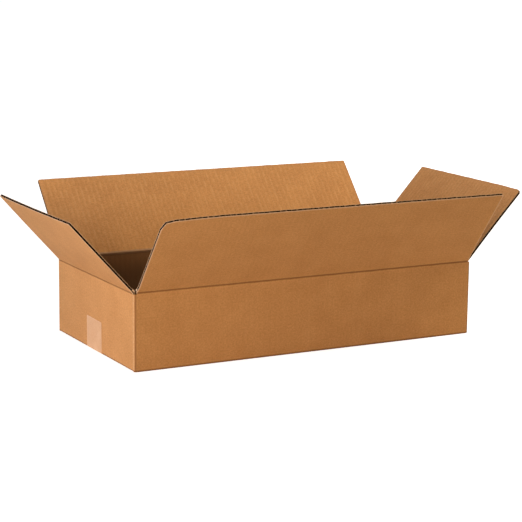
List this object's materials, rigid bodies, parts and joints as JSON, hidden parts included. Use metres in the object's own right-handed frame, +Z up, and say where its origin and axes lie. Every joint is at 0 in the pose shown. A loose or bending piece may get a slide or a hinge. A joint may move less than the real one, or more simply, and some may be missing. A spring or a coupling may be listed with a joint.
{
  "type": "shallow corrugated cardboard box",
  "caption": "Shallow slotted carton of single-wall kraft board, taped shut below, with its four top flaps turned outward.",
  "frame": {"origin": "middle of the carton's bottom, on the face that it stands on", "axes": "+X along the carton's length to the right end, +Y from the front wall to the back wall, +Z up"},
  "size_m": [0.6927, 0.4263, 0.2115],
  "materials": {
    "kraft_board": "matt brown kraft liner over corrugated medium",
    "packing_tape": "thin pale tan packing tape, low sheen"
  },
  "bodies": {
    "carton": {"carton_body": "kraft_board", "bottom_tape": "packing_tape"},
    "front_flap": {"front_flap": "kraft_board"},
    "back_flap": {"back_flap": "kraft_board"},
    "left_flap": {"left_flap": "kraft_board"},
    "right_flap": {"right_flap": "kraft_board"}
  },
  "joints": [
    {"name": "front_flap_crease", "type": "hinge", "parent": "carton", "child": "front_flap", "pos_m": [0, -0.131, 0.1065], "axis": [-1, 0, 0], "range_deg": [-98.4, 126.6]},
    {"name": "back_flap_crease", "type": "hinge", "parent": "carton", "child": "back_flap", "pos_m": [0, 0.131, 0.10643], "axis": [1, 0, 0], "range_deg": [-93.1, 131.9]},
    {"name": "left_flap_crease", "type": "hinge", "parent": "carton", "child": "left_flap", "pos_m": [-0.258, 0, 0.10325], "axis": [0, 1, 0], "range_deg": [-92.9, 132.1]},
    {"name": "right_flap_crease", "type": "hinge", "parent": "carton", "child": "right_flap", "pos_m": [0.258, 0, 0.10325], "axis": [0, -1, 0], "range_deg": [-91.5, 133.5]}
  ]
}
